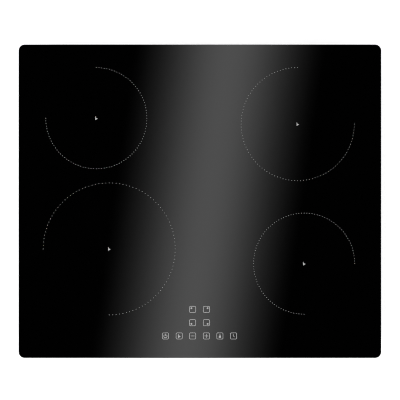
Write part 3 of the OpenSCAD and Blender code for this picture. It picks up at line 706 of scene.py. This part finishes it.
def key_symbols():
    """Power, pennant, minus, plus, padlock and clock hands, then a corner dot on each zone key."""
    bm = bmesh.new()
    front, zone_keys = all_keys()
    width = 0.75 * MM
    arm = 2.8 * MM
    power_symbol(bm, *front[0])
    pennant(bm, *front[1], 6.8 * MM)
    for cx, cy in (front[2], front[3]):
        prism(bm, stroke_points((cx - arm, cy), (cx + arm, cy), width))
    cx, cy = front[3]
    prism(bm, stroke_points((cx, cy - arm), (cx, cy + arm), width), PRINT_LOW, PRINT_HIGH + CROSSING_LIFT)
    padlock_symbol(bm, *front[4])
    cx, cy = front[5]
    prism(bm, stroke_points((cx - 0.4 * MM, cy + 2.5 * MM), (cx - 0.4 * MM, cy), width))
    prism(bm, stroke_points((cx - 0.4 * MM, cy), (cx + 1.5 * MM, cy - 1.7 * MM), width),
          PRINT_LOW, PRINT_HIGH + CROSSING_LIFT)
    corners = ((-1, -1), (1, -1), (-1, 1), (1, 1))
    for (cx, cy), (sx, sy) in zip(zone_keys, corners):
        prism(bm, circle_points(cx + sx * 1.9 * MM, cy + sy * 2.0 * MM, 1.42 * MM))
    finish_piece(bm, "key_symbols", INK)


for zone in ZONES:
    zone_ring(zone)
    zone_mark(zone)
key_outlines()
key_symbols()


# ---------------------------------------------------------------- coils, springs and leads

# Inner radius and pitch of a winding's spiral, and how many strands show round its wire
COIL_INNER = 24.0 * MM
WIRE_PITCH = 4.4 * MM
STRANDS = 5

# Thickness of a leaf spring's strip, and half its width
SPRING_STRIP = 0.5 * MM
SPRING_HALF_WIDTH = 4.0 * MM
# The springs stand on a circle of this share of the coil's radius
SPRING_RING = 0.62
# A coil above this radius has eight ferrite bars and four springs, a smaller one six and three
LARGE_COIL = 78.0 * MM
# A coil's insulation disc is this much larger in radius than its winding
DISC_MARGIN = 1.0 * MM


def litz_winding(zone):
    """Flat spiral of twisted strands, from the middle of the coil to its rim."""
    node = "coil_winding_" + zone
    low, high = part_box(node)
    cx, cy = (low[0] + high[0]) / 2, (low[1] + high[1]) / 2
    outer = (high[0] - low[0]) / 2
    thick = (high[2] - low[2]) / 2 - 0.1 * MM
    middle_z = (low[2] + high[2]) / 2
    turns = (outer - COIL_INNER) / WIRE_PITCH - 1.0
    step = 3.0 * MM
    rings = []
    angle = 0.0
    twist = 0.0
    while angle < turns * 2 * math.pi:
        radius = COIL_INNER + WIRE_PITCH * (0.5 + angle / (2 * math.pi))
        ring = []
        for k in range(2 * STRANDS):
            a = twist + math.pi * k / STRANDS
            reach = thick * (1.0 if k % 2 else 0.86)
            out = radius + reach * math.cos(a)
            ring.append((cx + out * math.cos(angle), cy + out * math.sin(angle),
                         middle_z + reach * math.sin(a)))
        rings.append(ring)
        angle += step / radius
        twist += math.radians(18.0)
    bm = bmesh.new()
    tube_between(bm, rings)
    piece = finish_piece(bm, "litz_winding_" + zone, FINISHES["copper_wire"], "coil_" + zone,
                         smooth=True)
    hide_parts(node)


def spring_path(height):
    """Middle line of a leaf spring, as (along, up) from one foot over the arch to the other foot."""
    half = SPRING_STRIP / 2
    top_half, foot_start, foot_end = 4.6 * MM, 10.2 * MM, 15.0 * MM
    flat = 1.2 * MM
    steps = 8
    path = [(-foot_end, half), (-foot_start - flat, half)]
    for k in range(steps + 1):
        share = k / steps
        rise = share * share * (3.0 - 2.0 * share)
        along = -foot_start + (foot_start - top_half) * share
        path.append((along, half + (height - 2.0 * half) * rise))
    path.append((-top_half + flat, height - half))
    return path + [(-along, up) for along, up in reversed(path)]


def leaf_springs(zone):
    """Arched leaf springs under one coil's feet."""
    node = "coil_springs_" + zone
    low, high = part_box(node)
    height = high[2] - low[2]
    cx, cy = zone_centre(zone)
    disc_low, disc_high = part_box("insulation_disc_" + zone)
    coil_radius = (disc_high[0] - disc_low[0]) / 2 - DISC_MARGIN
    bars = 8 if coil_radius > LARGE_COIL else 6
    path = spring_path(height)
    bm = bmesh.new()
    for k in range(bars // 2):
        angle = math.radians((2 * k + 0.5) * 360.0 / bars)
        out = Vector((math.cos(angle), math.sin(angle), 0.0))
        side = Vector((-math.sin(angle), math.cos(angle), 0.0))
        foot = Vector((cx, cy, low[2])) + SPRING_RING * coil_radius * out
        rings = []
        for j, (along, up) in enumerate(path):
            before = Vector(path[max(j - 1, 0)])
            after = Vector(path[min(j + 1, len(path) - 1)])
            slope = (after - before).normalized()
            normal = Vector((-slope.y, slope.x)) * (SPRING_STRIP / 2)
            ring = []
            for face, edge in ((-1, -1), (1, -1), (1, 1), (-1, 1)):
                lift = Vector((0.0, 0.0, up + face * normal.y))
                ring.append(tuple(foot + (along + face * normal.x) * side + lift
                                  + edge * SPRING_HALF_WIDTH * out))
            rings.append(ring)
        tube_between(bm, rings)
    piece = finish_piece(bm, "leaf_springs_" + zone, FINISHES["spring_steel"], smooth=True)
    round_only(piece)
    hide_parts(node)
    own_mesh(piece)


def winding_leads(zone):
    """Two sleeved leads under a coil, each crimped into a round lug on the board."""
    node = "coil_leads_" + zone
    low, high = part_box(node)
    cx, cy = zone_centre(zone)
    height = high[2] - low[2]
    lug, barrel, sleeve = 4.5 * MM, 2.9 * MM, 2.2 * MM
    profile = [(lug, 0.0), (lug, 1.0 * MM), (lug - 0.2 * MM, 1.2 * MM), (barrel, 1.2 * MM),
               (barrel, 5.6 * MM), (sleeve, 6.2 * MM), (sleeve, height)]
    bm = bmesh.new()
    for y in (low[1] + lug, high[1] - lug):
        turned(bm, (cx, y, low[2]), profile, 24)
    piece = finish_piece(bm, "winding_leads_" + zone, FINISHES["lead_sleeve"], smooth=True)
    round_only(piece)
    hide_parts(node)
    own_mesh(piece)


# ---------------------------------------------------------------- small parts on the boards

def lead_wire(bm, points, radius, sides=6):
    """Bent wire in a plane of constant y, through points (x, y, z)."""
    rings = []
    for k, point in enumerate(points):
        before = Vector(points[max(k - 1, 0)])
        after = Vector(points[min(k + 1, len(points) - 1)])
        along = (after - before).normalized()
        side = Vector((0.0, 1.0, 0.0))
        up = along.cross(side)
        rings.append([tuple(Vector(point) + radius * (math.cos(a) * side + math.sin(a) * up))
                      for a in (2 * math.pi * j / sides for j in range(sides))])
    tube_between(bm, rings)


def chip(body, legs, x, y, z, length, width, pairs):
    """Moulded chip with a row of bent legs along each long side."""
    block(body, (x, y, z + 0.4 * MM), (width, length, 2.2 * MM), 0.3 * MM)
    pitch = length / pairs
    leg_z = z + 1.3 * MM
    for k in range(pairs):
        leg_y = y - length / 2 + pitch * (k + 0.5)
        for sx in (-1, 1):
            root_x = x + sx * width / 2
            foot_x = root_x + sx * 1.2 * MM
            lead_wire(legs, [(root_x - sx * 0.3 * MM, leg_y, leg_z), (foot_x, leg_y, leg_z),
                             (foot_x + sx * 0.2 * MM, leg_y, z - 0.05 * MM)], 0.28 * MM)


def resistor(body, bands, legs, x, y, z):
    """Lying resistor: waisted body, four colour bands and two leads bent down to the board."""
    half, lift = 3.2 * MM, 1.6 * MM
    profile = [(-1.0, 0.55), (-0.94, 1.0), (-0.66, 1.12), (-0.50, 0.88),
               (0.50, 0.88), (0.66, 1.12), (0.94, 1.0), (1.0, 0.55)]
    girth = 1.15 * MM
    ring_angles = [2 * math.pi * j / 12 for j in range(12)]

    def ring(along, reach):
        return [(x + along, y + reach * math.cos(a), z + lift + reach * math.sin(a))
                for a in ring_angles]

    tube_between(body, [ring(half * along, girth * reach) for along, reach in profile])
    for place in (-0.80, -0.30, 0.0, 0.78):
        reach = girth * (1.14 if abs(place) > 0.6 else 0.91)
        tube_between(bands, [ring(half * place + edge * 0.22 * MM, reach) for edge in (-1, 1)])
    for sx in (-1, 1):
        bend_x, foot_x = x + sx * (half + 1.4 * MM), x + sx * (half + 1.9 * MM)
        lead_wire(legs, [(x + sx * half * 0.9, y, z + lift), (bend_x, y, z + lift),
                         (foot_x, y, z + lift - 0.5 * MM), (foot_x, y, z - 0.05 * MM)], 0.3 * MM)


def electrolytic(sleeve, cap, x, y, z, radius, height):
    """Standing can capacitor: crimped sleeve and a bright end with a pressed cross."""
    turned(sleeve, (x, y, z), [(radius * 0.93, 0.0), (radius, 0.5 * MM), (radius, 1.5 * MM),
                               (radius * 0.92, 2.1 * MM), (radius, 2.7 * MM),
                               (radius, height - 0.5 * MM), (radius * 0.9, height)])
    turned(cap, (x, y, z + height - 0.05 * MM),
           [(radius * 0.86, 0.0), (radius * 0.86, 0.12 * MM), (radius * 0.80, 0.20 * MM)])
    for w, d in ((radius * 1.2, 0.35 * MM), (0.35 * MM, radius * 1.2)):
        block(cap, (x, y, z + height + 0.10 * MM), (w, d, 0.14 * MM))


def header(shell, pins, x, y, z, ways):
    """Plug socket with a row of pins standing in it."""
    pitch = 2.5 * MM
    long_side = ways * pitch + 2.0 * MM
    floor_t, wall_t, wall_h = 2.0 * MM, 0.8 * MM, 5.0 * MM
    block(shell, (x, y, z), (6.0 * MM, long_side, floor_t))
    for sx in (-1, 1):
        block(shell, (x + sx * 2.6 * MM, y, z + floor_t), (wall_t, long_side, wall_h), 0.2 * MM)
    for sy in (-1, 1):
        end_y = y + sy * (long_side / 2 - wall_t / 2)
        block(shell, (x, end_y, z + floor_t), (4.4 * MM, wall_t, wall_h), 0.2 * MM)
    for k in range(ways):
        pin_y = y + (k - (ways - 1) / 2) * pitch
        block(pins, (x, pin_y, z + floor_t), (0.64 * MM, 0.64 * MM, 4.4 * MM), 0.15 * MM)


def power_board_parts(side, sign):
    """Chips, resistors, capacitors and plug sockets in the free strip of a power board."""
    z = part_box("power_board_" + side)[1][2]
    looks = {
        "chips": FINISHES["black_resin"], "legs": FINISHES["zinc_screws"],
        "resistors": SMALL_FINISHES["resistor_lacquer"], "bands": SMALL_FINISHES["band_lacquer"],
        "sleeves": SMALL_FINISHES["can_sleeve"], "can_ends": FINISHES["aluminium_plate"],
        "sockets": FINISHES["white_nylon"], "pins": FINISHES["zinc_screws"],
    }
    groups = {name: bmesh.new() for name in looks}
    for row in range(5):
        y = (-112.0 + 34.0 * row) * MM
        length = (9.0 + 3.0 * (row % 2)) * MM
        pairs = 4 + 2 * (row % 2)
        chip(groups["chips"], groups["legs"], sign * 160.0 * MM, y, z, length, 6.0 * MM, pairs)
        for k in range(4):
            resistor(groups["resistors"], groups["bands"], groups["legs"],
                     sign * 176.0 * MM, y + (k - 1.5) * 4.6 * MM, z)
    for row in range(4):
        y = (-96.0 + 34.0 * row) * MM
        for x, radius, height in ((160.0 * MM, 4.0 * MM, 11.5 * MM), (171.0 * MM, 3.2 * MM, 9.0 * MM)):
            electrolytic(groups["sleeves"], groups["can_ends"], sign * x, y, z, radius, height)
    header(groups["sockets"], groups["pins"], sign * 150.0 * MM, 88.0 * MM, z, 6)
    header(groups["sockets"], groups["pins"], sign * 160.0 * MM, -130.0 * MM, z, 3)
    for name, material in looks.items():
        smooth = name in ("resistors", "legs", "sleeves")
        piece = finish_piece(groups[name], "board_" + name + "_" + side, material, smooth=smooth)
        if smooth:
            round_only(piece)


def touch_board_parts():
    """Two controller chips on the touch board."""
    low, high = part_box("touch_board")
    chips, legs = bmesh.new(), bmesh.new()
    for x in (low[0] + 18.0 * MM, high[0] - 14.0 * MM):
        chip(chips, legs, x, high[1] - 16.0 * MM, high[2], 9.0 * MM, 6.0 * MM, 7)
    finish_piece(chips, "touch_chips", FINISHES["black_resin"])
    finish_piece(legs, "touch_chip_legs", FINISHES["zinc_screws"])


for zone in ZONES:
    litz_winding(zone)
    leaf_springs(zone)
    winding_leads(zone)
power_board_parts("left", -1)
power_board_parts("right", 1)
touch_board_parts()
